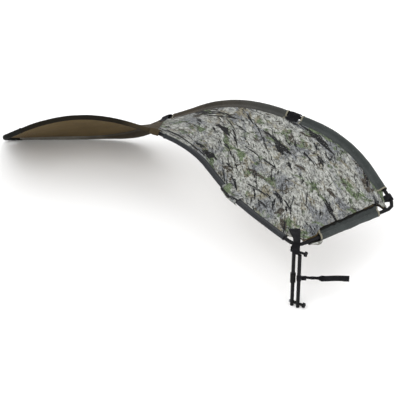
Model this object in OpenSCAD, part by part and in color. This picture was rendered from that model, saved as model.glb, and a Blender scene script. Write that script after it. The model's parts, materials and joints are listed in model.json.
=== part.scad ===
// Layout field blind: three fabric panels stretched between two arched rails, a fold hinge line
// between each pair of panels, and a folding leg under the near corner.
// Millimetres. X runs along the blind, Y across it, Z up. The origin is on the ground, under the
// folded half of the leg. Rail A is the raised rail, rail B comes down to the ground at the far end.

/* [Rail A] */
// Near corner of the frame, above the leg
corner_a_near = [-20, 0, 420]; // [-2000:5:2000]
// Point that the near stretch of rail A bends towards
pull_a_near = [-200, 205, 430]; // [-2000:5:2000]
// Near fold hinge on rail A
hinge_a_near = [-365, 500, 390]; // [-2000:5:2000]
// Point that the middle stretch of rail A bends towards
pull_a_mid = [-580, 915, 430]; // [-2000:5:2000]
// Far fold hinge on rail A
hinge_a_far = [-785, 1035, 460]; // [-2000:5:2000]
// Point that the far stretch of rail A bends towards
pull_a_far = [-1275, 1270, 480]; // [-2000:5:2000]
// Far corner of the frame on rail A
corner_a_far = [-1680, 1085, 395]; // [-2000:5:2000]

/* [Rail B] */
// Near corner of the frame on rail B
corner_b_near = [540, 360, 420]; // [-2000:5:2000]
// Point that the near stretch of rail B bends towards
pull_b_near = [315, 805, 585]; // [-2000:5:2000]
// Near fold hinge on rail B
hinge_b_near = [15, 1020, 585]; // [-2000:5:2000]
// Point that the middle stretch of rail B bends towards
pull_b_mid = [-305, 1260, 575]; // [-2000:5:2000]
// Far fold hinge on rail B
hinge_b_far = [-735, 1570, 205]; // [-2000:5:2000]
// Point on the ground where the far stretch of rail B levels out
pull_b_far = [-1010, 1650, 14]; // [-2000:1:2000]
// Far corner of the frame on rail B, lying on the ground
corner_b_far = [-1755, 1640, 14]; // [-2000:1:2000]

/* [Tubes and sleeves] */
// Outer radius of every tube
tube_r = 10.5; // [8:0.5:13]
// Wall of every tube
tube_wall = 1.5; // [1:0.1:2.5]
// How far back from each corner a tube starts to bend
corner_bend = 55; // [45:5:90]
// How far on each side of its pull point rail A bends, in the near, middle and far sections
bends_a = [210, 170, 355]; // [100:5:360]
// The same for rail B
bends_b = [280, 330, 270]; // [100:5:360]
// Outer radius of a fabric sleeve on a rail
sleeve_r = 14; // [12.5:0.5:18]
// Outer radius of the broader sleeve on the near end bar
end_sleeve_r = 17; // [14:0.5:22]
// Thickness of the panel fabric
cloth_t = 3; // [2:0.5:5]
// Rise of the cloth above the straight line between the rails
cloth_rise = 38; // [0:2:70]
// Rise of the cloth just inside the near end bar
shoulder_rise = 30; // [0:2:45]

/* [Hinges] */
// Radius of a hinge eye
eye_r = 15; // [12:0.5:16]
// Radius of a hinge pin
pin_r = 4; // [3:0.25:5]
// Thickness of the tongue between the two cheeks of the fork
tongue_t = 13; // [8:0.5:14]
// Thickness of each cheek of the fork
cheek_t = 6; // [4:0.5:7]

/* [Leg] */
// Height of the knee bolt above the ground with the leg folded
knee_z = 26; // [22:1:34]
// Height of the hip bolt
hip_z = 380; // [350:1:385]
// Distance between the centre lines of the two leg tubes
leg_gap = 36; // [32:1:44]
// Direction of the leg bolts, in degrees from the X axis
leg_turn = -30; // [-60:5:0]
// Radius of the leg bolts
bolt_r = 4; // [3:0.5:5]
// Radius of the clamping knobs
knob_r = 15; // [12:1:20]
// Length of the loose tail of the cinch strap
tail_len = 274; // [150:2:320]
// Width of the webbing
webbing_w = 38; // [25:1:50]
// Thickness of the webbing
webbing_t = 2.4; // [1.5:0.1:3.5]

/* [Hidden] */
$fn = 32;

tube_bore = tube_r - tube_wall;
run = 0.05;            // radial play of a pin in its bore
tube_setback = 34;     // from a hinge's axis to the end of the tube
sleeve_setback = 48;   // from a hinge's axis to the end of a sleeve
cloth_setback = 11;    // from a hinge's axis to the edge of the cloth
hinge_inset = 34;      // from a hinge to the corner of the cloth beside it
corner_clear = 95;     // from a corner to the end of a sleeve
sleeve_bore = tube_r + 1.3;
sleeve_sides = 10;
tube_sides = 12;
black = [0.07, 0.07, 0.08];
grey_cloth = [0.29, 0.32, 0.32];
camo_cloth = [0.55, 0.57, 0.48];
web_black = [0.10, 0.09, 0.12];
steel = [0.45, 0.46, 0.48];

// ---- Vectors and paths ----
function unit(v) = v / norm(v);
function curve(a, c, b, t) = (1 - t) * (1 - t) * a + 2 * t * (1 - t) * c + t * t * b;

// Arc through the corner p, starting r before it and ending r after it
function bend(a, p, b, r) =
  [for (i = [0:16]) curve(p + unit(a - p) * r, p, p + unit(b - p) * r, i / 16)];

// Path from the first point to the last, bent at each point between by the matching radius
function bent_path(points, bends) = [
  points[0],
  for (i = [1:len(points) - 2]) each bend(points[i - 1], points[i], points[i + 1], bends[i - 1]),
  points[len(points) - 1]
];

function run_lengths(path, i = 0, so_far = 0) =
  i == len(path) - 1 ? [so_far]
  : concat([so_far], run_lengths(path, i + 1, so_far + norm(path[i + 1] - path[i])));

function length_of(path) = let (s = run_lengths(path)) s[len(s) - 1];

// n + 1 points on a path, evenly spaced from distance s0 to distance s1
function stretch_of(path, s0, s1, n) =
  let (s = run_lengths(path))
  [for (i = [0:n]) let (d = s0 + (s1 - s0) * i / n)
    [for (k = [0:2]) lookup(d, [for (j = [0:len(path) - 1]) [s[j], path[j][k]]])]];

function heading(path, i) =
  unit(path[min(i + 1, len(path) - 1)] - path[max(i - 1, 0)]);

// ---- The rails ----
path_near = bent_path(
  [hinge_a_near, pull_a_near, corner_a_near, corner_b_near, pull_b_near, hinge_b_near],
  [bends_a[0], corner_bend, corner_bend, bends_b[0]]);
path_mid_a = bent_path([hinge_a_near, pull_a_mid, hinge_a_far], [bends_a[1]]);
path_mid_b = bent_path([hinge_b_near, pull_b_mid, hinge_b_far], [bends_b[1]]);
path_far = bent_path(
  [hinge_a_far, pull_a_far, corner_a_far, corner_b_far, pull_b_far, hinge_b_far],
  [bends_a[2], corner_bend, corner_bend, bends_b[2]]);

bar_far = norm(corner_b_far - corner_a_far);
near_len = length_of(path_near);
far_len = length_of(path_far);
// Distances along the two hoops to their corners, each taken from the nearer hinge
near_a0 = length_of(bent_path([hinge_a_near, pull_a_near, corner_a_near], [bends_a[0]]));
near_b0 = near_len - length_of(bent_path([hinge_b_near, pull_b_near, corner_b_near], [bends_b[0]]));
far_a0 = length_of(bent_path([hinge_a_far, pull_a_far, corner_a_far], [bends_a[2]]));
far_b0 = far_len - length_of(bent_path([hinge_b_far, pull_b_far, corner_b_far], [bends_b[2]]));

// Pulls from a hinge into the rail on each side of it
near_a_dir = unit(pull_a_near - hinge_a_near);
near_b_dir = unit(pull_b_near - hinge_b_near);
mid_a_dir = unit(pull_a_mid - hinge_a_near);
mid_b_dir = unit(pull_b_mid - hinge_b_near);
mid_a_end = unit(pull_a_mid - hinge_a_far);
mid_b_end = unit(pull_b_mid - hinge_b_far);
far_a_dir = unit(pull_a_far - hinge_a_far);
far_b_dir = unit(pull_b_far - hinge_b_far);
fold_near = unit(hinge_b_near - hinge_a_near);
fold_far = unit(hinge_b_far - hinge_a_far);

// ---- Sweeps and sheets ----
function ring(p, t, r, sides) =
  let (side = unit(cross(t, [0, 0, 1])), up = cross(side, t))
  [for (k = [0:sides - 1]) p + r * (side * cos(360 * k / sides) + up * sin(360 * k / sides))];

// Round tube along a path; hollow when r_in is above zero
module swept_tube(path, r_out, r_in, sides) {
  n = len(path);
  outer = [for (i = [0:n - 1]) each ring(path[i], heading(path, i), r_out, sides)];
  inner = [for (i = [0:n - 1]) each ring(path[i], heading(path, i), r_in, sides)];
  m = n * sides;
  skin = [for (i = [0:n - 2], k = [0:sides - 1])
    let (a = i * sides + k, b = i * sides + (k + 1) % sides) [a, b, b + sides, a + sides]];
  ends = [for (k = [0:sides - 1]) let (j = (k + 1) % sides, e = (n - 1) * sides)
    each [[k, m + k, m + j, j], [e + k, e + j, m + e + j, m + e + k]]];
  faces = concat(
    [for (f = skin) each [[f[0], f[2], f[1]], [f[0], f[3], f[2]]]],
    [for (f = skin) each [[m + f[0], m + f[1], m + f[2]], [m + f[0], m + f[2], m + f[3]]]],
    [for (f = ends) each [[f[0], f[2], f[1]], [f[0], f[3], f[2]]]]);
  polyhedron(points = concat(outer, inner), faces = faces, convexity = 8);
}

// Normal of a ruled row, turned to the upper side
function row_normal(a, b, i) =
  let (h = max(i - 1, 0), k = min(i + 1, len(a) - 1),
       n = unit(cross(b[i] - a[i], a[k] - a[h] + b[k] - b[h])))
  n[2] < 0 ? -n : n;

// Cloth between two edges with the same number of points, raised in the middle by rise[i]
module cloth(a, b, rise) {
  across = 12;
  n = len(a);
  w = across + 1;
  normals = [for (i = [0:n - 1]) row_normal(a, b, i)];
  side = [for (s = [0.5, -0.5]) [for (i = [0:n - 1], j = [0:across]) let (v = j / across)
    a[i] + (b[i] - a[i]) * v + normals[i] * (rise[i] * 4 * v * (1 - v) + s * cloth_t)]];
  m = n * w;
  top = [for (i = [0:n - 2], j = [0:across - 1]) let (p = i * w + j)
    each [[p, p + 1, p + w + 1], [p, p + w + 1, p + w]]];
  rim = concat(
    [for (j = [0:across]) j],
    [for (i = [1:n - 1]) i * w + across],
    [for (j = [1:across]) (n - 1) * w + across - j],
    [for (i = [1:n - 2]) (n - 1 - i) * w]);
  walls = [for (k = [0:len(rim) - 1]) let (p = rim[k], q = rim[(k + 1) % len(rim)])
    each [[p, m + p, m + q], [p, m + q, q]]];
  polyhedron(points = concat(side[0], side[1]),
    faces = concat(top, [for (f = top) [m + f[0], m + f[2], m + f[1]]], walls), convexity = 8);
}

// Puts local Z along dir at point p, with local X as near to lean as it goes
module aim(p, dir, lean) {
  z = unit(dir);
  x = unit(lean - z * (lean * z));
  y = cross(z, x);
  multmatrix([
    [x[0], y[0], z[0], p[0]], [x[1], y[1], z[1], p[1]], [x[2], y[2], z[2], p[2]], [0, 0, 0, 1]])
    children();
}

module pipe(r_out, r_in, h) {
  difference() {
    cylinder(r = r_out, h = h);
    translate([0, 0, -1]) cylinder(r = r_in, h = h + 2);
  }
}

// ---- Fold hinges ----
plug_r = tube_bore - 0.7;
plug_len = 30;
neck_r = 8;
arm_w = 20;      // width of a tongue's arm and of a fork's cheeks
stem_at = 22;    // from the hinge's axis to the start of the stem
fork_half = tongue_t / 2 + 0.3 + cheek_t;
bridge_at = 17;
bridge_len = 9;

// Rod that carries a hinge half and runs on into the tube as a plug
module hinge_stem(p, dir) {
  aim(p + dir * stem_at, dir, [0, 0, 1]) {
    cylinder(r = neck_r, h = tube_setback - stem_at);
    translate([0, 0, tube_setback - stem_at - 4]) cylinder(r = tube_r, h = 3.6);
    translate([0, 0, tube_setback - stem_at - 1]) cylinder(r = plug_r, h = plug_len);
  }
}

module tongue(p, axis, dir) {
  difference() {
    union() {
      aim(p, axis, dir) {
        translate([0, 0, -tongue_t / 2]) cylinder(r = eye_r, h = tongue_t);
        translate([0, -arm_w / 2, -tongue_t / 2]) cube([bridge_at + bridge_len, arm_w, tongue_t]);
        translate([bridge_at, -arm_w / 2, -fork_half]) cube([bridge_len, arm_w, 2 * fork_half]);
      }
      hinge_stem(p, dir);
    }
    aim(p, axis, dir) translate([0, 0, -20]) cylinder(r = pin_r + run, h = 40);
  }
}

module fork(p, axis, dir) {
  difference() {
    union() {
      aim(p, axis, dir) {
        for (s = [-1, 1]) translate([0, 0, s * (fork_half - cheek_t / 2)]) {
          cylinder(r = eye_r, h = cheek_t, center = true);
          translate([0, -arm_w / 2, -cheek_t / 2]) cube([bridge_at + bridge_len, arm_w, cheek_t]);
        }
        translate([bridge_at, -arm_w / 2, -fork_half]) cube([bridge_len, arm_w, 2 * fork_half]);
      }
      hinge_stem(p, dir);
    }
    aim(p, axis, dir) translate([0, 0, -20]) cylinder(r = pin_r + run, h = 40);
  }
}

module hinge_pin(p, axis) {
  head_t = 3;
  aim(p, axis, [1, 0, 0]) {
    translate([0, 0, -fork_half - 0.3]) cylinder(r = pin_r, h = 2 * fork_half + 0.6);
    for (s = [-1, 1]) translate([0, 0, s * (fork_half + 0.3 + head_t / 2)])
      cylinder(r = 7, h = head_t, center = true);
  }
}

// ---- Middle section ----
module mid_rail_a() {
  color(black) swept_tube(stretch_of(path_mid_a, tube_setback,
    length_of(path_mid_a) - tube_setback, 16), tube_r, tube_bore, tube_sides);
}
module mid_rail_b() {
  color(black) swept_tube(stretch_of(path_mid_b, tube_setback,
    length_of(path_mid_b) - tube_setback, 22), tube_r, tube_bore, tube_sides);
}
module tongue_a_near() { color(black) tongue(hinge_a_near, fold_near, mid_a_dir); }
module tongue_b_near() { color(black) tongue(hinge_b_near, fold_near, mid_b_dir); }
module tongue_a_far() { color(black) tongue(hinge_a_far, fold_far, mid_a_end); }
module tongue_b_far() { color(black) tongue(hinge_b_far, fold_far, mid_b_end); }
module hinge_pin_a_near() { color(steel) hinge_pin(hinge_a_near, fold_near); }
module hinge_pin_b_near() { color(steel) hinge_pin(hinge_b_near, fold_near); }
module hinge_pin_a_far() { color(steel) hinge_pin(hinge_a_far, fold_far); }
module hinge_pin_b_far() { color(steel) hinge_pin(hinge_b_far, fold_far); }

module rail_sleeve(path, s0, s1, n) {
  color(grey_cloth) swept_tube(stretch_of(path, s0, s1, n), sleeve_r, sleeve_bore, sleeve_sides);
}
module sleeve_mid_a() {
  rail_sleeve(path_mid_a, sleeve_setback, length_of(path_mid_a) - sleeve_setback, 16);
}
module sleeve_mid_b() {
  rail_sleeve(path_mid_b, sleeve_setback, length_of(path_mid_b) - sleeve_setback, 22);
}

// Edge of the cloth, set in from one rail towards the other so that it clears the sleeve
inset = sleeve_r + 1;
function inset_edge(from, to) = [for (i = [0:len(from) - 1])
  let (across = unit(to[i] - from[i]), lean = norm(cross(across, heading(from, i))))
  from[i] + across * inset / lean];

// The same, cut back further at the row beside a hinge
function hinged_edge(from, to, rows) = let (edge = inset_edge(from, to))
  [for (i = [0:len(edge) - 1]) len(search(i, rows)) == 0 ? edge[i]
    : from[i] + unit(to[i] - from[i]) * hinge_inset];

module panel_mid() {
  n = 18;
  a = stretch_of(path_mid_a, cloth_setback, length_of(path_mid_a) - cloth_setback, n);
  b = stretch_of(path_mid_b, cloth_setback, length_of(path_mid_b) - cloth_setback, n);
  // The cloth is full at the near hinge line and flat at the far one
  rise = [for (i = [0:n]) cloth_rise * (1 + cos(180 * i / n)) / 2];
  color(camo_cloth) cloth(hinged_edge(a, b, [0, n]), hinged_edge(b, a, [0, n]), rise);
}

// ---- Near section ----
module near_hoop_tube() {
  color(black) swept_tube(stretch_of(path_near, tube_setback, near_len - tube_setback, 66),
    tube_r, tube_bore, tube_sides);
}
module fork_a_near() { color(black) fork(hinge_a_near, fold_near, near_a_dir); }
module fork_b_near() { color(black) fork(hinge_b_near, fold_near, near_b_dir); }
module sleeve_near_a() { rail_sleeve(path_near, sleeve_setback, near_a0 - corner_clear, 14); }
module sleeve_near_b() {
  rail_sleeve(path_near, near_b0 + corner_clear + 10, near_len - sleeve_setback, 20);
}

bar_dir_near = unit(corner_b_near - corner_a_near);
near_in = unit(cross([0, 0, 1], bar_dir_near));   // level, from the near end bar into the blind
module sleeve_near_end() {
  from = 125;
  to = 572;
  color(grey_cloth) aim(corner_a_near + bar_dir_near * from, bar_dir_near, [0, 0, 1])
    pipe(end_sleeve_r, sleeve_bore, to - from);
}

module panel_near() {
  n = 14;
  bar_inset = end_sleeve_r + 1;
  shoulder = near_in * (bar_inset + 34) + [0, 0, shoulder_rise];
  a_rail = stretch_of(path_near, near_a0 - corner_clear - 15, cloth_setback, n);
  b_rail = stretch_of(path_near, near_b0 + corner_clear + 25, near_len - cloth_setback, n);
  a = concat(
    [corner_a_near + bar_dir_near * 105 + near_in * bar_inset],
    [corner_a_near + bar_dir_near * 85 + shoulder],
    hinged_edge(a_rail, b_rail, [n]));
  b = concat(
    [corner_b_near - bar_dir_near * 90 + near_in * bar_inset],
    [corner_b_near - bar_dir_near * 90 + shoulder],
    hinged_edge(b_rail, a_rail, [n]));
  rise = [for (i = [0:n + 2]) i == 0 ? 0 : cloth_rise * sin(90 * min(1, 2.2 * (i + 1) / n))];
  color(camo_cloth) cloth(a, b, rise);
}

// Webbing ring round a rail near a corner, with a tab that reaches the cloth
module corner_strap(p, along, inward, reach) {
  ring_r = tube_r + 0.6;
  color(web_black) aim(p, along, inward) translate([0, 0, -webbing_w / 2]) {
    pipe(ring_r + webbing_t, ring_r, webbing_w);
    translate([ring_r + 0.4, -webbing_t / 2, 0]) cube([reach - ring_r, webbing_t, webbing_w]);
  }
}
module corner_strap_b_near() {
  p = stretch_of(path_near, near_b0 + 72, near_b0 + 74, 1);
  corner_strap(p[0], p[1] - p[0], -bar_dir_near + near_in * 0.4, 26);
}

// Webbing that starts on the cloth, passes over the tube and hangs down outside the corner
corner_mid_near = curve(
  corner_a_near + unit(pull_a_near - corner_a_near) * corner_bend, corner_a_near,
  corner_a_near + bar_dir_near * corner_bend, 0.5);
corner_along_near = unit(bar_dir_near - unit(pull_a_near - corner_a_near));
corner_in_near = unit(cross([0, 0, 1], corner_along_near));
clamp_r = 19;
strap_arc = 8;   // flats in the strap's quarter turn over the corner
strap_drop = 11; // how far the strap hangs down outside the corner
module corner_strap_a_near() {
  in_r = clamp_r + 0.6;
  out_r = in_r + webbing_t;
  turn = [for (k = [0:strap_arc]) 90 + 90 * k / strap_arc];
  back = [for (k = [0:strap_arc]) turn[strap_arc - k]];
  color(web_black) aim(corner_mid_near, corner_along_near, corner_in_near)
    linear_extrude(webbing_w, center = true) polygon(concat(
      [[46, out_r]], [for (t = turn) out_r * [cos(t), sin(t)]], [[-out_r, -strap_drop], [-in_r, -strap_drop]],
      [for (t = back) in_r * [cos(t), sin(t)]], [[46, in_r]]));
}

// ---- Leg ----
leg_w = [cos(leg_turn), sin(leg_turn), 0];     // along the leg bolts
leg_v = [-sin(leg_turn), cos(leg_turn), 0];    // the way the leg folds up, under the cloth
upper_at = -leg_w * leg_gap;                   // foot of the upper tube's centre line
cap_t = 6;
strap_z = 203;

module on_bolt(z) { aim([0, 0, z], leg_w, [0, 0, 1]) children(); }

ear_in = tube_r + 0.6;
ear_t = 4;
module hip_bracket() {
  color(black) difference() {
    union() {
      aim(corner_mid_near - corner_along_near * 13, corner_along_near, [0, 0, 1])
        cylinder(r = clamp_r, h = 26);
      translate([upper_at[0], upper_at[1], 0]) rotate([0, 0, leg_turn]) {
        translate([-ear_in - ear_t, -13, hip_z + 20])
          cube([2 * (ear_in + ear_t), 30, corner_a_near[2] - hip_z - 33]);
        for (s = [-1, 1]) {
          translate([s * (ear_in + ear_t / 2), 0, hip_z]) rotate([0, 90, 0])
            cylinder(r = 13, h = ear_t, center = true);
          translate([s * (ear_in + ear_t / 2), 0, hip_z + 12])
            cube([ear_t, 26, 24], center = true);
        }
      }
    }
    aim(corner_mid_near - corner_along_near * 14, corner_along_near, [0, 0, 1])
      cylinder(r = tube_r + 4, h = 28);
    on_bolt(hip_z) translate([0, 0, -leg_gap - 30]) cylinder(r = bolt_r + run, h = 60);
  }
}

bolt_head_t = 5;
hip_bolt_start = -leg_gap - ear_in - ear_t - 0.4;
knob_at_hip = 25;
knob_at_knee = 26;
knob_t = 16;
module bolt(z, from, to) {
  color(steel) on_bolt(z) {
    translate([0, 0, from - bolt_head_t]) cylinder(r = 8, h = bolt_head_t);
    translate([0, 0, from - 0.01]) cylinder(r = bolt_r, h = to - from);
  }
}
module hip_bolt() { bolt(hip_z, hip_bolt_start, knob_at_hip + 11); }
module knee_bolt() { bolt(knee_z, -leg_gap - tube_r - 0.6, knob_at_knee + 11); }
module hip_spacer() {
  from = -leg_gap + ear_in + ear_t + 0.4;
  color(black) on_bolt(hip_z) translate([0, 0, from]) pipe(7, bolt_r + run, knob_at_hip - from - 0.4);
}
module knee_spacer() {
  color(black) on_bolt(knee_z) translate([0, 0, -leg_gap + tube_r + 0.3])
    pipe(9, bolt_r + run, leg_gap - 2 * tube_r - 0.6);
}

// Clamping knob with five finger hollows, a blind bore and a hub that reaches back along the bolt
module knob(z, at, hub) {
  color(black) on_bolt(z) translate([0, 0, at]) difference() {
    union() {
      translate([0, 0, -hub]) cylinder(r = 8, h = hub + 5);
      translate([0, 0, 4]) cylinder(r = knob_r, h = knob_t - 4);
    }
    for (k = [0:4]) rotate([0, 0, 72 * k]) translate([knob_r + 5, 0, 3.5])
      cylinder(r = 8, h = knob_t);
    translate([0, 0, -hub - 1]) cylinder(r = bolt_r + run, h = hub + 13);
  }
}
module hip_knob() { knob(hip_z, knob_at_hip, 0); }
module knee_knob() { knob(knee_z, knob_at_knee, knob_at_knee - tube_r - 1); }

// Straight leg tube standing at a foot point, drilled for a bolt at each height given
module leg_tube(at, from, to, bolts) {
  color(black) difference() {
    translate([at[0], at[1], from]) pipe(tube_r, tube_bore, to - from);
    for (z = bolts) on_bolt(z) translate([0, 0, -leg_gap - 20])
      cylinder(r = bolt_r + run, h = 50 + leg_gap);
  }
}
upper_top = hip_z + 11;
lower_top = hip_z - 22;
module leg_upper_tube() { leg_tube(upper_at, cap_t, upper_top, [knee_z, hip_z]); }
module leg_lower_tube() { leg_tube([0, 0], cap_t, lower_top, [knee_z]); }

// Plug with a domed end; points down at z = 0 and up when flipped
module end_cap(at, z, flip) {
  color(black) translate([at[0], at[1], z]) mirror([0, 0, flip ? 1 : 0]) rotate_extrude()
    polygon([[0, 0], [7.5, 0], [9.6, 1.4], [10.5, 3.6], [10.5, cap_t], [tube_bore - 0.2, cap_t],
      [tube_bore - 0.2, cap_t + 10], [0, cap_t + 10]]);
}
module leg_upper_foot() { end_cap(upper_at, 0, false); }
module leg_lower_foot() { end_cap([0, 0], 0, false); }
module leg_lower_cap() { end_cap([0, 0], lower_top + cap_t, true); }
// Thin disc that closes the tube above the hip bolt
module leg_upper_cap() {
  color(black) translate([upper_at[0], upper_at[1], upper_top - 3])
    cylinder(r = tube_bore - 0.2, h = 4);
}
module keeper_sleeve() {
  color(black) translate([upper_at[0], upper_at[1], 163]) pipe(15.2, tube_r + 0.3, 60);
}
module cinch_loop() {
  color(web_black) translate([0, 0, strap_z - webbing_w / 2])
    pipe(tube_r + 0.3 + webbing_t, tube_r + 0.3, webbing_w);
}
buckle_x = tube_r + webbing_t + 1;
buckle_len = 26;
module cinch_buckle() {
  // Small ladder buckle with two slots that the webbing, folded in half, passes through
  color(black) translate([buckle_x, -3, strap_z - webbing_w / 4 - 4]) difference() {
    cube([buckle_len, 6, webbing_w / 2 + 8]);
    for (x = [5, 15]) translate([x, -1, 4]) cube([6, 8, webbing_w / 2]);
  }
}
module cinch_tail() {
  color(web_black) translate([buckle_x + buckle_len + 0.5, -webbing_t / 2, strap_z - webbing_w / 2])
    cube([tail_len - buckle_x - buckle_len, webbing_t, webbing_w]);
}

// ---- Far section ----
module far_hoop_tube() {
  color(black) swept_tube(stretch_of(path_far, tube_setback, far_len - tube_setback, 74),
    tube_r, tube_bore, tube_sides);
}
module fork_a_far() { color(black) fork(hinge_a_far, fold_far, far_a_dir); }
module fork_b_far() { color(black) fork(hinge_b_far, fold_far, far_b_dir); }
module sleeve_far_a() { rail_sleeve(path_far, sleeve_setback, far_a0 - corner_clear, 18); }
module sleeve_far_b() {
  rail_sleeve(path_far, far_b0 + corner_clear, far_len - sleeve_setback, 24);
}
bar_dir_far = unit(corner_b_far - corner_a_far);
module sleeve_far_end() {
  from = corner_clear + 10;
  color(grey_cloth) aim(corner_a_far + bar_dir_far * from, bar_dir_far, [0, 0, 1])
    pipe(sleeve_r, sleeve_bore, bar_far - 2 * from);
}
module panel_far() {
  n = 18;
  a_rail = stretch_of(path_far, cloth_setback, far_a0 - corner_clear - 15, n);
  b_rail = stretch_of(path_far, far_len - cloth_setback, far_b0 + corner_clear + 15, n);
  into = unit(pull_a_far - corner_a_far);
  a = concat(hinged_edge(a_rail, b_rail, [0]),
    [corner_a_far + bar_dir_far * (corner_clear + 10) + into * (inset + 1)]);
  b = concat(hinged_edge(b_rail, a_rail, [0]),
    [corner_b_far - bar_dir_far * (corner_clear + 10) + into * (inset + 1)]);
  rise = [for (i = [0:n + 1]) 0.5 * cloth_rise * sin(180 * i / (n + 1))];
  color(camo_cloth) cloth(a, b, rise);
}
module corner_strap_a_far() {
  p = stretch_of(path_far, far_a0 - 74, far_a0 - 72, 1);
  corner_strap(p[0], p[1] - p[0], bar_dir_far, 26);
}
module corner_strap_b_far() {
  p = stretch_of(path_far, far_b0 + 72, far_b0 + 74, 1);
  corner_strap(p[0], p[1] - p[0], -bar_dir_far, 26);
}

mid_rail_a();
mid_rail_b();
tongue_a_near();
tongue_b_near();
tongue_a_far();
tongue_b_far();
hinge_pin_a_near();
hinge_pin_b_near();
hinge_pin_a_far();
hinge_pin_b_far();
panel_mid();
sleeve_mid_a();
sleeve_mid_b();
near_hoop_tube();
fork_a_near();
fork_b_near();
panel_near();
sleeve_near_a();
sleeve_near_b();
sleeve_near_end();
corner_strap_a_near();
corner_strap_b_near();
hip_bracket();
hip_bolt();
hip_spacer();
hip_knob();
leg_upper_tube();
leg_upper_cap();
leg_upper_foot();
keeper_sleeve();
knee_bolt();
knee_spacer();
knee_knob();
leg_lower_tube();
leg_lower_cap();
leg_lower_foot();
cinch_loop();
cinch_buckle();
cinch_tail();
far_hoop_tube();
fork_a_far();
fork_b_far();
panel_far();
sleeve_far_a();
sleeve_far_b();
sleeve_far_end();
corner_strap_a_far();
corner_strap_b_far();
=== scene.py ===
"""Looks of the layout field blind: cloth, sleeves, webbing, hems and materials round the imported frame.

Metres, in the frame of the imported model: X along the blind, Y across it, Z up. Rail A is the raised
rail and rail B the one that comes down to the ground. A strip position runs from the near end bar,
over the near and middle sections, to the far end bar.
"""
import json
import math

import bpy
import numpy as np
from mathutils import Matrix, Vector, noise


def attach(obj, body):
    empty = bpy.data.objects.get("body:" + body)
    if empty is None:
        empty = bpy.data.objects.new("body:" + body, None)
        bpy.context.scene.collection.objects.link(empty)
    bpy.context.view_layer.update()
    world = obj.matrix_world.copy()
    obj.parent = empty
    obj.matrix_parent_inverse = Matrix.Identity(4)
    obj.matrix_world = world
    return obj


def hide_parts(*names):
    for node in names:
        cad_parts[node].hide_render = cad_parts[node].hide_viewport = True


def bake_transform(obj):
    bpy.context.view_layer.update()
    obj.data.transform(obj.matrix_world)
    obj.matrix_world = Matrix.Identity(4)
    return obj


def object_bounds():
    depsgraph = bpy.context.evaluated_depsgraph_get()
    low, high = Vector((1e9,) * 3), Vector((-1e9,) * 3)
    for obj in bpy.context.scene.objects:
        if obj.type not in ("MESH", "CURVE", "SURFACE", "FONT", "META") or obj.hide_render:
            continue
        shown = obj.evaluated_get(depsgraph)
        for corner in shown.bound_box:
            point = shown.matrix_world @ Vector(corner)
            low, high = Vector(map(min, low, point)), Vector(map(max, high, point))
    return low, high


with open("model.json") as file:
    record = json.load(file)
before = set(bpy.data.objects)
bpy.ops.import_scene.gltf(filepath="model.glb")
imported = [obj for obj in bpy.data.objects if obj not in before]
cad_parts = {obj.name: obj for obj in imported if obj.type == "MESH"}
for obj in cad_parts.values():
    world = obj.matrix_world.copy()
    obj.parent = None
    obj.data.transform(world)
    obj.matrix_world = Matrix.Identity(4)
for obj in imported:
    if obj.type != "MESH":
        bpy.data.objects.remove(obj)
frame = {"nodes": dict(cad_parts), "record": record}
cad_low, cad_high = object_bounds()

# ---------------------------------------------------------------- camera, light and floor
CAMERA_TILT = math.radians(36)       # how far the camera looks down
CAMERA_AWAY = 9.625
CAMERA_AIM = Vector((-0.537, 0.346, 0.476))
LENS_MM = 157.5
FLOOR_GAP = 0.0005


def add_camera():
    data = bpy.data.cameras.new("camera")
    data.lens = LENS_MM
    data.sensor_width = 36
    camera = bpy.data.objects.new("camera", data)
    bpy.context.collection.objects.link(camera)
    look = Vector((0, math.cos(CAMERA_TILT), -math.sin(CAMERA_TILT)))
    camera.location = CAMERA_AIM - look * CAMERA_AWAY
    camera.rotation_euler = (math.pi / 2 - CAMERA_TILT, 0, 0)
    bpy.context.scene.camera = camera


def add_area_light(name, place, size, watts):
    data = bpy.data.lights.new(name, "AREA")
    data.size = size
    data.energy = watts
    light = bpy.data.objects.new(name, data)
    bpy.context.collection.objects.link(light)
    light.location = place
    aim = (Vector(cad_low) + Vector(cad_high)) / 2
    light.rotation_euler = (aim - Vector(place)).to_track_quat("-Z", "Y").to_euler()


def add_studio():
    add_area_light("key_light", (-2.5, -3.0, 5.5), 4.0, 170)
    add_area_light("fill_light", (4.0, -3.5, 2.5), 4.0, 90)
    add_area_light("back_light", (0.5, 5.5, 4.0), 3.0, 90)
    world = bpy.data.worlds.new("studio")
    world.use_nodes = True
    background = world.node_tree.nodes["Background"]
    background.inputs["Color"].default_value = (1, 1, 1, 1)
    background.inputs["Strength"].default_value = 1.05
    bpy.context.scene.world = world
    bpy.context.scene.view_settings.view_transform = "Standard"
    bpy.ops.mesh.primitive_plane_add(size=60, location=(0, 0, min(0.0, cad_low[2]) - FLOOR_GAP))
    floor = bpy.context.object
    floor.name = "floor"
    material = bpy.data.materials.new("floor")
    material.use_nodes = True
    shader = material.node_tree.nodes["Principled BSDF"]
    shader.inputs["Base Color"].default_value = (0.95, 0.95, 0.95, 1)
    shader.inputs["Roughness"].default_value = 0.9
    floor.data.materials.append(material)


# ---------------------------------------------------------------- the rails
def unit(v):
    return v / np.linalg.norm(v)


def point(*mm):
    return np.array(mm, float) / 1000


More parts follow.
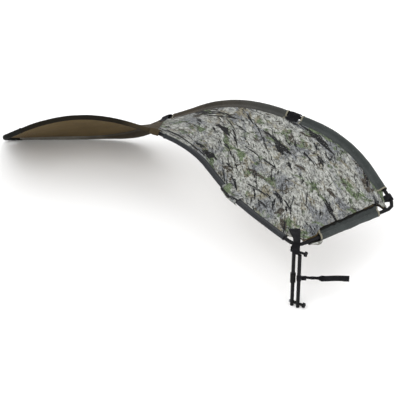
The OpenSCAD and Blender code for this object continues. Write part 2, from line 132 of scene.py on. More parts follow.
UP = np.array([0, 0, 1.0])
CORNER_A_NEAR = point(-20, 0, 420)
PULL_A_NEAR = point(-200, 205, 430)
HINGE_A_NEAR = point(-365, 500, 390)
PULL_A_MID = point(-580, 915, 430)
HINGE_A_FAR = point(-785, 1035, 460)
PULL_A_FAR = point(-1275, 1270, 480)
CORNER_A_FAR = point(-1680, 1085, 395)
CORNER_B_NEAR = point(540, 360, 420)
PULL_B_NEAR = point(315, 805, 585)
HINGE_B_NEAR = point(15, 1020, 585)
PULL_B_MID = point(-305, 1260, 575)
HINGE_B_FAR = point(-735, 1570, 205)
PULL_B_FAR = point(-1010, 1650, 14)
CORNER_B_FAR = point(-1755, 1640, 14)
CORNER_BEND = 0.055                  # how far each bend reaches from its corner
BENDS_A = (0.210, 0.170, 0.355)      # near, middle, far
BENDS_B = (0.280, 0.330, 0.270)


def curve(a, c, b, t):
    """Point on the curve from a to b that is pulled towards c."""
    return (1 - t) ** 2 * a + 2 * t * (1 - t) * c + t * t * b


def distances(points):
    """How far along a line of points each of them is."""
    return np.concatenate([[0], np.cumsum(np.linalg.norm(np.diff(points, axis=0), axis=1))])


class Rail:
    """A tube's centre line, bent at its inner points, read by distance from its first point."""

    def __init__(self, points, bends, steps=16):
        path = [points[0]]
        for before, corner, after, reach in zip(points, points[1:], points[2:], bends):
            start = corner + unit(before - corner) * reach
            end = corner + unit(after - corner) * reach
            path += [curve(start, corner, end, i / steps) for i in range(steps + 1)]
        self.path = np.array(path + [points[-1]])
        self.run = distances(self.path)
        self.length = self.run[-1]

    def at(self, s):
        return np.array([np.interp(s, self.run, self.path[:, k]) for k in range(3)])

    def along(self, s, reach=0.02):
        return unit(self.at(s + reach) - self.at(s - reach))


NEAR = Rail([HINGE_A_NEAR, PULL_A_NEAR, CORNER_A_NEAR, CORNER_B_NEAR, PULL_B_NEAR, HINGE_B_NEAR],
            [BENDS_A[0], CORNER_BEND, CORNER_BEND, BENDS_B[0]])
MID_A = Rail([HINGE_A_NEAR, PULL_A_MID, HINGE_A_FAR], [BENDS_A[1]])
MID_B = Rail([HINGE_B_NEAR, PULL_B_MID, HINGE_B_FAR], [BENDS_B[1]])
FAR = Rail([HINGE_A_FAR, PULL_A_FAR, CORNER_A_FAR, CORNER_B_FAR, PULL_B_FAR, HINGE_B_FAR],
           [BENDS_A[2], CORNER_BEND, CORNER_BEND, BENDS_B[2]])
NEAR_A0 = Rail([HINGE_A_NEAR, PULL_A_NEAR, CORNER_A_NEAR], [BENDS_A[0]]).length
NEAR_B0 = NEAR.length - Rail([HINGE_B_NEAR, PULL_B_NEAR, CORNER_B_NEAR], [BENDS_B[0]]).length
FAR_A0 = Rail([HINGE_A_FAR, PULL_A_FAR, CORNER_A_FAR], [BENDS_A[2]]).length
FAR_B0 = FAR.length - Rail([HINGE_B_FAR, PULL_B_FAR, CORNER_B_FAR], [BENDS_B[2]]).length
BAR_NEAR = unit(CORNER_B_NEAR - CORNER_A_NEAR)
BAR_FAR = unit(CORNER_B_FAR - CORNER_A_FAR)
NEAR_IN = unit(np.cross(UP, BAR_NEAR))     # level, from the near end bar into the blind
FAR_IN = unit(PULL_A_FAR - CORNER_A_FAR)

SLEEVE_SETBACK = 0.048    # from a hinge to the end of a sleeve
CORNER_CLEAR = 0.095      # from a corner to the end of a sleeve
CLOTH_SETBACK = 0.011     # from a hinge to its panel's end row
CLOTH_RISE = 0.038        # height of the cloth's arch over the line between its rails
CLOTH_CORNER = 0.110      # from a corner to the first row that lies on both rails
CLOTH_CORNER_LOW = 0.120  # the same on rail B beside the near end bar


class Section:
    """One panel's two rail stretches, read by a fraction from its near edge to its far edge.
    rise gives the height of the cloth's arch at a fraction."""

    def __init__(self, rail_a, a0, a1, rail_b, b0, b1, rise):
        self.a = (rail_a, a0, a1)
        self.b = (rail_b, b0, b1)
        self.rise = rise

    def ends(self, f):
        return [rail.at(s0 + (s1 - s0) * f) for rail, s0, s1 in (self.a, self.b)]

    def up(self, f, reach=0.02):
        a0, b0 = self.ends(max(f - reach, 0))
        a1, b1 = self.ends(min(f + reach, 1))
        a, b = self.ends(f)
        n = unit(np.cross(b - a, a1 - a0 + b1 - b0))
        return n if n[2] > 0 else -n


near_section = Section(NEAR, NEAR_A0 - CLOTH_CORNER, CLOTH_SETBACK,
                       NEAR, NEAR_B0 + CLOTH_CORNER_LOW, NEAR.length - CLOTH_SETBACK,
                       lambda f: CLOTH_RISE * math.sin(math.pi / 2 * min(1, 0.35 + 2.2 * f)))
middle_section = Section(MID_A, CLOTH_SETBACK, MID_A.length - CLOTH_SETBACK,
                         MID_B, CLOTH_SETBACK, MID_B.length - CLOTH_SETBACK,
                         lambda f: CLOTH_RISE * (1 + math.cos(math.pi * f)) / 2)
far_section = Section(FAR, CLOTH_SETBACK, FAR_A0 - CLOTH_CORNER,
                      FAR, FAR.length - CLOTH_SETBACK, FAR_B0 + CLOTH_CORNER,
                      lambda f: 0.5 * CLOTH_RISE * math.sin(math.pi * f))


# ---------------------------------------------------------------- mesh helpers
def mesh_piece(name, parts, material):
    """One piece from several (verts, faces, uvs)."""
    verts, faces, uvs = [], [], []
    for v, f, t in parts:
        base = len(verts)
        verts += [tuple(p) for p in v]
        uvs += list(t)
        faces += [[base + k for k in face] for face in f]
    mesh = bpy.data.meshes.new(name)
    mesh.from_pydata(verts, [], faces)
    layer = mesh.uv_layers.new(name="UVMap")
    loop_verts = np.empty(len(mesh.loops), int)
    mesh.loops.foreach_get("vertex_index", loop_verts)
    layer.data.foreach_set("uv", np.asarray(uvs, float)[loop_verts].ravel())
    mesh.materials.append(material)
    mesh.shade_smooth()
    mesh.validate()
    piece = bpy.data.objects.new(name, mesh)
    bpy.context.collection.objects.link(piece)
    return piece


def soft_piece(name, body, parts, material, node=None):
    """A piece that rides on a body, in place of a CAD node if one is given."""
    piece = mesh_piece(name, parts, material)
    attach(piece, body)
    if node is not None:
        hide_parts(node)


def shell(top, bottom, uv):
    """Closed thin shell between two grids of points of the same shape."""
    rows, cols = np.shape(top)[:2]
    half = rows * cols
    verts = np.concatenate([np.reshape(side, (-1, 3)) for side in (top, bottom)])
    faces = []
    for i in range(rows - 1):
        for j in range(cols - 1):
            p = i * cols + j
            faces.append([p, p + 1, p + cols + 1, p + cols])
            faces.append([half + p, half + p + cols, half + p + cols + 1, half + p + 1])
    rim = list(range(cols))
    rim += [i * cols + cols - 1 for i in range(1, rows)]
    rim += [(rows - 1) * cols + j for j in range(cols - 2, -1, -1)]
    rim += [i * cols for i in range(rows - 2, 0, -1)]
    for p, q in zip(rim, rim[1:] + rim[:1]):
        faces.append([q, p, half + p, half + q])
    return verts, faces, np.concatenate([np.reshape(uv, (-1, 2))] * 2)


def grid_normals(grid):
    """Normals of a grid of points, all turned upwards."""
    n = np.cross(np.gradient(grid, axis=1), np.gradient(grid, axis=0))
    n /= np.linalg.norm(n, axis=-1, keepdims=True)
    return n * np.sign((n * UP).sum(-1, keepdims=True))


def loft(rings):
    """Quads over a list of rings with the same number of points, closed at both ends."""
    count = len(rings[0])
    faces = []
    for i in range(len(rings) - 1):
        for k in range(count):
            j = (k + 1) % count
            faces.append([i * count + k, i * count + j, (i + 1) * count + j, (i + 1) * count + k])
    faces.append(list(range(count))[::-1])
    faces.append([(len(rings) - 1) * count + k for k in range(count)])
    return np.concatenate(rings), faces


def ripple(x, y, z=0.0):
    return noise.noise(Vector((x, y, z)))


def fade(x, start, end):
    """From 0 at start to 1 at end, smoothly."""
    t = min(1, max(0, (x - start) / (end - start)))
    return t * t * (3 - 2 * t)


# ---------------------------------------------------------------- materials
class Nodes:
    """Short way to write a material's node tree."""

    def __init__(self, name):
        self.material = bpy.data.materials.new(name)
        self.material.use_nodes = True
        self.tree = self.material.node_tree
        self.shader = self.tree.nodes["Principled BSDF"]

    def add(self, kind, inputs=(), **settings):
        node = self.tree.nodes.new(kind)
        for key, value in settings.items():
            setattr(node, key, value)
        for key, value in dict(inputs).items():
            self.put(node.inputs[key], value)
        return node

    def put(self, socket, value):
        if isinstance(value, bpy.types.NodeSocket):
            self.tree.links.new(value, socket)
        else:
            socket.default_value = value

    def set(self, **values):
        for key, value in values.items():
            self.put(self.shader.inputs[key.replace("_", " ")], value)

    def coords(self, kind, scale=(1, 1, 1), offset=(0, 0, 0)):
        source = self.add("ShaderNodeTexCoord").outputs[kind]
        return self.add("ShaderNodeMapping",
                        {"Vector": source, "Scale": scale, "Location": offset}).outputs["Vector"]

    def noise(self, vector, scale, detail=4, rough=0.55, distortion=0.0):
        return self.add("ShaderNodeTexNoise", {"Vector": vector, "Scale": scale, "Detail": detail,
                                               "Roughness": rough, "Distortion": distortion}).outputs["Fac"]

    def wave(self, vector, period, direction):
        return self.add("ShaderNodeTexWave", {"Vector": vector, "Scale": 2 * math.pi / (20 * period)},
                        bands_direction=direction).outputs["Fac"]

    def ramp(self, fac, stops):
        node = self.add("ShaderNodeValToRGB", {"Fac": fac})
        while len(node.color_ramp.elements) < len(stops):
            node.color_ramp.elements.new(0.5)
        for element, (place, colour) in zip(node.color_ramp.elements, stops):
            element.position = place
            element.color = (*colour, 1)
        return node.outputs["Color"]

    def step(self, fac, low, high, to_low=0.0, to_high=1.0):
        return self.add("ShaderNodeMapRange", {"Value": fac, "From Min": low, "From Max": high,
                                               "To Min": to_low, "To Max": to_high}).outputs["Result"]

    def mix(self, fac, a, b):
        node = self.add("ShaderNodeMix", data_type="RGBA")
        self.put(node.inputs["Factor"], fac)
        for socket, value in ((node.inputs[6], a), (node.inputs[7], b)):
            self.put(socket, value if isinstance(value, bpy.types.NodeSocket) else (*value, 1))
        return node.outputs[2]

    def maths(self, what, a, b):
        node = self.add("ShaderNodeMath", operation=what)
        self.put(node.inputs[0], a)
        self.put(node.inputs[1], b)
        return node.outputs[0]

    def bump(self, height, depth, strength, normal=None):
        node = self.add("ShaderNodeBump", {"Height": height, "Distance": depth, "Strength": strength})
        if normal is not None:
            self.put(node.inputs["Normal"], normal)
        return node.outputs["Normal"]


def shade(colour, times, plus=0.0):
    return tuple(min(1, c * times + plus) for c in colour)


def weave(n, vector, period):
    """Plain weave: warp and weft ridges that pass over each other."""
    return n.maths("ADD", n.wave(vector, period, "X"), n.wave(vector, period * 1.15, "Y"))


def weave_bump(n, uv, fine):
    """Normal of plain cloth: its weave over broad soft dents."""
    return n.bump(fine, 0.00035, 0.8, n.bump(n.noise(uv, 28, 4), 0.0022, 0.7))


def cloth_material(name, colour, spread, period, sheen, seed):
    """Plain-woven cloth: faded in patches, worn in spots."""
    n = Nodes(name)
    uv = n.coords("UV", offset=(seed, seed, 0))
    fine = weave(n, uv, period)
    broad = n.noise(uv, 9, 5)
    worn = n.noise(uv, 60, 3)
    base = n.ramp(broad, [(0.3, shade(colour, 1 - spread)), (0.7, shade(colour, 1 + spread))])
    base = n.mix(n.step(worn, 0.55, 0.8), base, shade(colour, 1.35, 0.01))
    base = n.mix(n.maths("MULTIPLY", fine, 0.18), base, shade(colour, 0.45))
    n.set(Base_Color=base, Roughness=n.step(broad, 0, 1, 0.84, 1.0), Sheen_Weight=sheen,
          Specular_IOR_Level=0.12, Normal=weave_bump(n, uv, fine))
    return n.material


def camo_material():
    """Generic bark-and-leaf blotches: pale grey ground, sage, tan and grey patches, dark streaks."""
    n = Nodes("camo_cloth")
    plain = n.coords("UV")

    def field(stretch, scale, detail, rough, warp, move=(0, 0), turn=0.0):
        """Noise drawn out along the strip, or along a direction turned from it."""
        place = n.add("ShaderNodeMapping", {"Vector": plain, "Scale": (1 / stretch, 1, 1),
                                            "Location": (*move, 0), "Rotation": (0, 0, turn)},
                      vector_type="TEXTURE").outputs["Vector"]
        return n.noise(place, scale, detail, rough, warp)

    grain = field(0.5, 75, 7, 0.72, 0.6, turn=0.3)
    ground = n.ramp(grain, [(0.33, (0.012, 0.012, 0.011)), (0.41, (0.130, 0.130, 0.118)),
                            (0.51, (0.330, 0.337, 0.312)), (0.64, (0.560, 0.572, 0.540))])
    grey = n.ramp(grain, [(0.36, (0.025, 0.027, 0.030)), (0.62, (0.270, 0.283, 0.295))])
    tan = n.ramp(grain, [(0.36, (0.035, 0.030, 0.020)), (0.62, (0.310, 0.285, 0.205))])
    sage = n.ramp(grain, [(0.36, (0.014, 0.022, 0.012)), (0.62, (0.165, 0.215, 0.115))])
    bark = n.ramp(grain, [(0.36, (0.012, 0.010, 0.008)), (0.62, (0.085, 0.072, 0.055))])
    colour = n.mix(n.step(field(0.5, 8, 6, 0.7, 0.8, (2, 5), 0.3), 0.48, 0.57), ground, grey)
    colour = n.mix(n.step(field(0.55, 12, 6, 0.7, 1.2, (3.1, 1.7)), 0.550, 0.61), colour, tan)
    colour = n.mix(n.step(field(0.7, 8, 6, 0.66, 0.7, (7.3, 4.4)), 0.545, 0.59), colour, sage)
    colour = n.mix(n.step(field(0.5, 14, 5, 0.6, 1.0, (1.3, 9.4)), 0.60, 0.63), colour, bark)
    ink = (0.005, 0.005, 0.006)
    soot = (0.016, 0.016, 0.015)
    for stretch, scale, warp, move, turn, low, high, tone in (
            (0.35, 60, 1.8, (5.5, 2.1), 0.55, 0.575, 0.62, soot),
            (0.17, 34, 0.8, (4.1, 6.3), 0.65, 0.600, 0.62, ink),
            (0.14, 17, 0.7, (0.0, 0.0), 0.15, 0.600, 0.612, ink),
            (0.30, 11, 0.6, (8.8, 3.3), 0.40, 0.645, 0.655, ink)):
        colour = n.mix(n.step(field(stretch, scale, 5, 0.6, warp, move, turn), low, high), colour, tone)
    colour = n.mix(n.step(field(1, 150, 3, 0.6, 0.4), 0.62, 0.70), colour, (0.50, 0.51, 0.49))
    fine = weave(n, plain, 0.0012)
    colour = n.mix(n.maths("MULTIPLY", fine, 0.15), colour, (0.02, 0.02, 0.02))
    n.set(Base_Color=colour, Roughness=0.80, Sheen_Weight=0.03, Specular_IOR_Level=0.12,
          Normal=n.bump(fine, 0.0004, 0.7, n.bump(n.noise(plain, 22, 5, 0.6), 0.004, 0.8)))
    return n.material


def webbing_material(name, colour, sheen_tint):
    """Ribbed narrow webbing: ribs along its length, picks across it."""
    n = Nodes(name)
    uv = n.coords("UV")
    ribs = n.wave(uv, 0.0021, "Y")
    picks = n.wave(uv, 0.0013, "X")
    height = n.maths("ADD", ribs, n.maths("MULTIPLY", picks, 0.6))
    worn = n.noise(uv, 35, 4)
    base = n.mix(n.step(worn, 0.5, 0.8), colour, shade(colour, 2.2, 0.01))
    base = n.mix(n.maths("MULTIPLY", ribs, 0.35), base, shade(colour, 0.3))
    n.set(Base_Color=base, Roughness=0.55, Specular_IOR_Level=0.07, Sheen_Weight=0.02,
          Sheen_Tint=(*sheen_tint, 1), Normal=n.bump(height, 0.0006, 1.0))
    return n.material


def solid_material(name, colour, rough, grain_scale, grain_depth, metal=0.0, wear=None):
    """Tube, fitting, plastic and rubber: fine grain, patchy gloss and a little wear."""
    n = Nodes(name)
    place = n.coords("Object")
    patch = n.noise(place, 14, 5)
    grain = n.noise(place, grain_scale, 3, 0.5)
    base = n.ramp(patch, [(0.3, shade(colour, 0.75)), (0.7, shade(colour, 1.25))])
    if wear is not None:
        scuff = n.noise(n.coords("Object", scale=(1, 1, 0.35)), 130, 6, 0.7, 0.5)
        base = n.mix(n.step(scuff, 0.66, 0.74), base, wear)
    n.set(Base_Color=base, Roughness=n.step(patch, 0.2, 0.8, rough - 0.12, rough + 0.1), Metallic=metal,
          Specular_IOR_Level=0.5 if metal else 0.10, Normal=n.bump(grain, grain_depth, 0.6))
    return n.material


def sleeve_in_zones(name, stretches, sheen=0.08, specular=0.12):
    """Sleeve cloth whose colour changes along the object: (from x, to x, colour), far end first."""
    n = Nodes(name)
    uv = n.coords("UV", offset=(6, 6, 0))
    fine = weave(n, uv, 0.0014)
    broad = n.noise(uv, 9, 5)
    where = n.add("ShaderNodeSeparateXYZ", {"Vector": n.coords("Object")}).outputs["X"]
    base = stretches[0][2]
    for start, end, colour in stretches[1:]:
        base = n.mix(n.step(where, start, end), base, colour)
    base = n.mix(n.maths("MULTIPLY", n.step(broad, 0.35, 0.7), 0.5), base, (0.012, 0.011, 0.009))
    base = n.mix(n.maths("MULTIPLY", fine, 0.18), base, (0.012, 0.011, 0.010))
    n.set(Base_Color=base, Roughness=0.85, Sheen_Weight=sheen, Specular_IOR_Level=specular,
          Normal=weave_bump(n, uv, fine))
    return n.material


CAMO = camo_material()
LINING = cloth_material("lining_cloth", (0.108, 0.074, 0.030), 0.15, 0.0012, 0.02, 2.0)
BAND_BROWN = cloth_material("band_brown", (0.046, 0.033, 0.017), 0.2, 0.0012, 0.03, 3.0)
SLEEVE_GREY = cloth_material("sleeve_grey", (0.040, 0.046, 0.045), 0.25, 0.0014, 0.08, 4.0)
# Painted shade: a darker copy of the grey sleeve cloth, for rail A's near and middle sleeves and their
# hems.
SLEEVE_GREY_SHADED = cloth_material("sleeve_grey_painted_shade", (0.024, 0.026, 0.029), 0.25, 0.0014, 0.08, 5.0)
SLEEVE_BLACK = cloth_material("sleeve_black", (0.008, 0.008, 0.007), 0.2, 0.0014, 0.02, 7.0)
# Rail B's middle and far sleeves: pale past x -1.32, brown from x -1.08 to -0.62, grey from x -0.12 towards
# the near end.
SLEEVE_ZONED = sleeve_in_zones("sleeve_zoned", [(0, 0, (0.190, 0.180, 0.150)),
                                             (-1.32, -1.08, (0.056, 0.043, 0.026)),
                                             (-0.62, -0.12, (0.052, 0.054, 0.050))])
# Painted shade: near black from x -1.00 to the far corner, the shaded rim of the far rail A; brown from x
# -0.92 towards the hinge. Low sheen and specular keep it dark.
SLEEVE_RIM_SHADED = sleeve_in_zones("sleeve_rim_painted_shade", [(0, 0, (0.011, 0.009, 0.005)),
                                             (-1.00, -0.92, (0.046, 0.034, 0.018))],
                            sheen=0.01, specular=0.05)
HEM_TAN = cloth_material("hem_tan", (0.23, 0.215, 0.16), 0.25, 0.0010, 0.08, 8.0)
WEBBING = webbing_material("webbing_black", (0.005, 0.005, 0.006), (0.55, 0.5, 0.75))
THREAD = cloth_material("thread", (0.045, 0.045, 0.043), 0.3, 0.0006, 0.05, 9.0)
TUBE = solid_material("powder_coat", (0.006, 0.006, 0.007), 0.42, 900, 0.00012, 0.0, (0.03, 0.03, 0.032))
PLASTIC = solid_material("moulded_nylon", (0.005, 0.005, 0.006), 0.55, 1400, 0.0001)
RUBBER = solid_material("black_rubber", (0.007, 0.007, 0.007), 0.75, 700, 0.0002, 0.0, (0.02, 0.019, 0.018))
STEEL = solid_material("zinc_steel", (0.30, 0.31, 0.33), 0.40, 500, 0.00008, 1.0, (0.20, 0.18, 0.15))
CAD_MATERIALS = {"black_tube": TUBE, "steel": STEEL, "black_plastic": PLASTIC, "black_rubber": RUBBER}


def dress_cad_nodes():
    slots = {part["node"]: part["material_slot"] for part in frame["record"]["subparts"]}
    for node, thing in frame["nodes"].items():
        material = CAD_MATERIALS.get(slots[node])
        if material is not None:
            for material_slot in thing.material_slots:
                material_slot.material = material


# ---------------------------------------------------------------- the cover
ACROSS = 84
SLEEVE_GRIP = 0.0130      # the cloth's edge from the tube's middle, between the sleeve's two fins
HINGE_GRIP = 0.0215       # the same beside a hinge, clear of its pin
V = np.linspace(0, 1, ACROSS + 1)
BAR_LEN = float(np.linalg.norm(CORNER_B_NEAR - CORNER_A_NEAR))
FAR_BAR_LEN = float(np.linalg.norm(CORNER_B_FAR - CORNER_A_FAR))
NEAR_EDGE_AT = 0.050 + (BAR_LEN - 0.102) * V       # along the near end bar
FAR_EDGE_AT = 0.050 + (FAR_BAR_LEN - 0.100) * V
NEAR_EDGE_BACK = -0.004
NEAR_ROWS, MID_ROWS, FAR_ROWS, END_ROWS = 32, 46, 44, 7
ROW_A1 = END_ROWS + 1 + NEAR_ROWS                   # the rows just before the two hinge lines
ROW_A2 = ROW_A1 + 1 + MID_ROWS
ROW_OF_MIDDLE = ROW_A1 + 1 + MID_ROWS // 2
BAND_ROWS = 12


def grip(section, f, side):
    """How far the cloth's edge lies from the tube's middle."""
    rail, s0, s1 = section.a if side == "a" else section.b
    s = s0 + (s1 - s0) * f
    hinge_away = min(s, rail.length - s)
    return SLEEVE_GRIP + (HINGE_GRIP - SLEEVE_GRIP) * (1 - fade(hinge_away, 0.040, 0.060))


def set_in(section, f, side):
    """Point on the cloth's edge: set in from a rail, measured square to it."""
    rail, s0, s1 = section.a if side == "a" else section.b
    a, b = section.ends(f)
    start, across = (a, unit(b - a)) if side == "a" else (b, unit(a - b))
    lean = np.linalg.norm(np.cross(across, rail.along(s0 + (s1 - s0) * f)))
    return start + across * grip(section, f, side) / lean


def section_row(section, f):
    a, b = set_in(section, f, "a"), set_in(section, f, "b")
    lift = section.rise(f) * 4 * V * (1 - V)
    return a + (b - a) * V[:, None] + section.up(f) * lift[:, None]


def near_edge_row(back, drop):
    """The near edge: close to the tube at both corners and up on the end sleeve's shoulder between.
    back moves it into the blind and drop lowers it."""
    row = []
    for s in NEAR_EDGE_AT:
        on = fade(s, 0.132, 0.176) * (1 - fade(s, BAR_LEN - 0.112, BAR_LEN - 0.066))
        k = s / BAR_LEN
        wave = on * (0.0035 * ripple(s * 17, 3.1) + 0.0020 * ripple(s * 41, 7.7))
        inward = 0.0125 + on * (0.014 + 0.013 * k) + back + wave
        up = 0.003 + on * (0.019 + 0.013 * k) - drop + 0.6 * wave
        row.append(CORNER_A_NEAR + BAR_NEAR * s + NEAR_IN * inward + UP * up)
    return np.array(row)


def far_edge_row():
    return CORNER_A_FAR + BAR_FAR * FAR_EDGE_AT[:, None] + FAR_IN * SLEEVE_GRIP


def cover_grid():
    """The cloth's middle surface and its lengths along and across."""
    first, crest = near_edge_row(NEAR_EDGE_BACK, -0.0085), near_edge_row(0.012, -0.0115)
    start = section_row(near_section, 0)
    rows = [first]
    for i in range(END_ROWS):
        t = i / END_ROWS
        bow = 0.007 * math.sin(math.pi * t) * 4 * V * (1 - V)
        rows.append(crest * (1 - t) + start * t + UP * bow[:, None])
    for section, count in ((near_section, NEAR_ROWS), (middle_section, MID_ROWS), (far_section, FAR_ROWS)):
        rows += [section_row(section, i / count) for i in range(count + 1)]
    last, end = rows[-1], far_edge_row()
    rows += [last * (1 - t) + end * t for t in (0.25, 0.5, 0.75, 1)]
    grid = np.array(rows)
    along = distances(grid[:, ACROSS // 2])
    width = np.linalg.norm(grid[:, -1] - grid[:, 0], axis=1)
    uv = np.stack(np.broadcast_arrays(along[:, None], (V - 0.5)[None] * width[:, None]), -1)
    return grid, uv


def crease(grid, uv):
    """Slack in the cloth: soft folds along it, puckers by the seams, pull lines at hinges and corners."""
    rows, cols = grid.shape[:2]
    lift = np.zeros((rows, cols))
    for i in range(rows):
        waist = 1 - fade(abs(i - ROW_A2), 0, 26)     # folds gather where the strip twists
        for j in range(cols):
            u, w = uv[i, j]
            width = uv[i, -1, 1] - uv[i, 0, 1]
            edge = min(j, cols - 1 - j) / (cols - 1) * width
            free = fade(edge, 0.036, 0.12) * fade(min(i, rows - 1 - i), 1, 6)
            h = 0.0050 * free * ripple(u * 2.8, w * 7, 1.7)
            h += 0.0021 * free * ripple(u * 9 + w * 5, w * 19, 5.1)
            h += 0.0011 * free * ripple(u * 26, w * 44, 8.3)
            h += 0.0042 * free * waist * ripple(u * 1.6, w * 26, 2.9)
            seam = fade(edge, 0.034, 0.050) * (1 - fade(edge, 0.07, 0.15))
            h += 0.0022 * seam * ripple(u * 34, w * 5, 9.2)
            for row in (ROW_A1 + 0.5, ROW_A2 + 0.5):
                away = abs(i - row) / 10
                if away < 1:
                    pull = math.sin((i - row) * 1.15 + edge * 8) * (1 - away) ** 2
                    h += 0.0028 * pull * fade(edge, 0.02, 0.06) * (1 - fade(edge, 0.12, 0.32))
            for corner in (grid[0, 0], grid[0, -1]):
                spoke = grid[i, j] - corner
                reach = np.linalg.norm(spoke)
                if reach < 0.24:
                    star = math.sin(math.atan2(spoke @ BAR_NEAR, spoke @ NEAR_IN) * 13)
                    h += 0.0026 * star * fade(reach, 0.02, 0.06) * (1 - fade(reach, 0.09, 0.24))
            if i < 12:
                h += 0.0030 * fade(edge, 0.02, 0.10) * (1 - i / 12) * ripple(w * 30, u * 9, 6.6)
            lift[i, j] = h
    return grid + grid_normals(grid) * lift[..., None]


def over_hinge(piece):
    """Bake a piece of cloth's placement into its mesh; it is not tied to the two bodies that meet at the
    hinge line.
    """
    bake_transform(piece)


def colour_band(piece, first_row):
    """Plain brown band across the cover, from the far hinge on."""
    piece.data.materials.append(BAND_BROWN)
    start = (ROW_A2 + 1 - first_row) * ACROSS
    for face in piece.data.polygons:
        if start <= face.index // 2 < start + BAND_ROWS * ACROSS:
            face.material_index = 1


def add_cover():
    """Camouflage cover and lining, each in two cuts that meet in the middle of the middle section."""
    grid, uv = cover_grid()
    grid = crease(grid, uv)
    n = grid_normals(grid)
    fin_gap = np.array([1 - fade(i, 1, 5) for i in range(len(grid))])[:, None, None] * 0.0042
    layers = (("cover", CAMO, 0.0002, 0.0014, 1), ("lining", LINING, -0.0013, -0.0002, -1))
    cuts = (("near", slice(0, ROW_OF_MIDDLE + 1), ["near_hoop_tube", "mid_rail_a", "mid_rail_b"]),
            ("far", slice(ROW_OF_MIDDLE, len(grid)), ["far_hoop_tube", "mid_rail_a", "mid_rail_b"]))
    for layer, material, low, high, way in layers:
        top, bottom = grid + n * (high + fin_gap * way), grid + n * (low + fin_gap * way)
        for place, part, rails in cuts:
            piece = mesh_piece(f"{layer}_{place}", [shell(top[part], bottom[part], uv[part])], material)
            if (layer, place) == ("cover", "far"):
                colour_band(piece, part.start)
            over_hinge(piece)
            if layer == "cover":
                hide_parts(f"panel_{place}", "panel_mid")
    add_band_seam(grid, n)


def add_band_seam(grid, n):
    """Rows of thread where the brown band is sewn to the camouflage."""
    threads = []
    for row in (ROW_A2 + 1, ROW_A2 + 1 + BAND_ROWS):
        for step in (-1, 1):
            line = grid[row] * 0.9 + grid[row + step] * 0.1 + n[row] * 0.0015
            threads.append(stitches(line[4:-4], n[row][4:-4], (grid[row + 1] - grid[row])[4:-4]))
    over_hinge(mesh_piece("cover_band_stitching", threads, THREAD))


# Painted shadow under the cover's near edge: where it starts and ends along the near end bar.
SHADOW_FROM, SHADOW_TO = 0.165, BAR_LEN - 0.050


def add_near_edge_painted_shadow():
    """Dark wavy strip under the cover's near edge, where it lies on the end sleeve: a painted shadow of the
    edge, made of black sleeve cloth.
    """
    top, uv = [], []
    for s, edge in zip(NEAR_EDGE_AT, near_edge_row(NEAR_EDGE_BACK, -0.0070)):
        if SHADOW_FROM < s < SHADOW_TO:
            width = 0.0060 + 0.0180 * abs(ripple(s * 23, 5.5))
            inner = edge + NEAR_IN * 0.004 - UP * 0.0005
            outer = edge - NEAR_IN * width - UP * (0.0012 + 0.35 * width)
            top.append([inner, (inner + outer) / 2 + UP * 0.0009, outer])
            uv.append([(s, 0), (s, 0.005), (s, 0.010)])
    top = np.array(top)
    # Black sleeve cloth laid in as painted shadow, not a binding.
    soft_piece("cover_near_edge_painted_shadow", "near_section", [shell(top, top - UP * 0.0012, uv)], SLEEVE_BLACK)


# ---------------------------------------------------------------- sleeves on the rails
SLEEVE_T = 0.0013          # thickness of the sleeves' cloth
ROUND_STEPS = 20
FIN_STEPS = 3
TURN_START = math.radians(50)    # where the sleeve leaves the round and runs in to its seam
FIN_GAP = 0.0034           # half the space between the fins, for the cover's edge
HEM_LEN = 0.009
HEM_PAST = 0.0008          # the hem's start, past the sleeve's end
SEAM_IN = 0.0060           # the seam, in from the fin's edge
GROUND_R = 0.0128          # the far sleeve on rail B rests on the ground


def sleeve_profile(r, fin, lift, sag=0.0, turn_start=TURN_START, hang=(0.0, 0.0)):
    """Outline of a sleeve's cut, from its upper fin round the tube to its lower fin: (inward, up).
    sag is slack on the side away from up, and hang is how far the slack hangs, inward and up."""
    leave = np.array([r * math.cos(turn_start), r * math.sin(turn_start)])
    slide = (leave[1] - FIN_GAP) / math.cos(turn_start)
    bend = np.array([leave[0] + slide * math.sin(turn_start), FIN_GAP])
    root = bend[0] + 0.005
    edge = [(fin, 0.0021), (fin - 0.0015, 0.0029), (fin - 0.0045, 0.0031), (fin - 0.0060, 0.0024),
            (fin - 0.0075, 0.0031), (fin - 0.0100, 0.0033)]
    for k in range(FIN_STEPS):
        edge.append((fin - 0.010 - (fin - 0.010 - root) * (k + 1) / (FIN_STEPS + 1), FIN_GAP))
    top = [(x, y + lift(x)) for x, y in edge]
    end = np.array([root, FIN_GAP + lift(root)])
    top += [tuple(curve(end, bend, leave, t)) for t in (0, 0.3, 0.6, 0.85)]
    turn = [turn_start + (2 * math.pi - 2 * turn_start) * k / ROUND_STEPS for k in range(ROUND_STEPS + 1)]
    arc = [(r * math.cos(t), r * math.sin(t) - sag * (1 - math.sin(t)) / 2) for t in turn]
    reach = math.hypot(*hang)
    if reach > 0:
        for k, t in enumerate(turn):
            below = (1 + (math.cos(t) * hang[0] + math.sin(t) * hang[1]) / reach) / 2
            below *= math.sqrt(math.sin(math.pi * k / ROUND_STEPS) + 1e-9)
            arc[k] = (arc[k][0] + hang[0] * below, arc[k][1] + hang[1] * below)
    low = [(x, 2 * lift(x) * (x > root) - y) for x, y in reversed(top)]
    return top + arc + low


def inner_profile(profile):
    """The same outline, one cloth thickness inside."""
    pts = np.array(profile)
    tangent = np.gradient(pts, axis=0)
    tangent /= np.linalg.norm(tangent, axis=1, keepdims=True)
    return pts + np.stack([-tangent[:, 1], tangent[:, 0]], 1) * SLEEVE_T


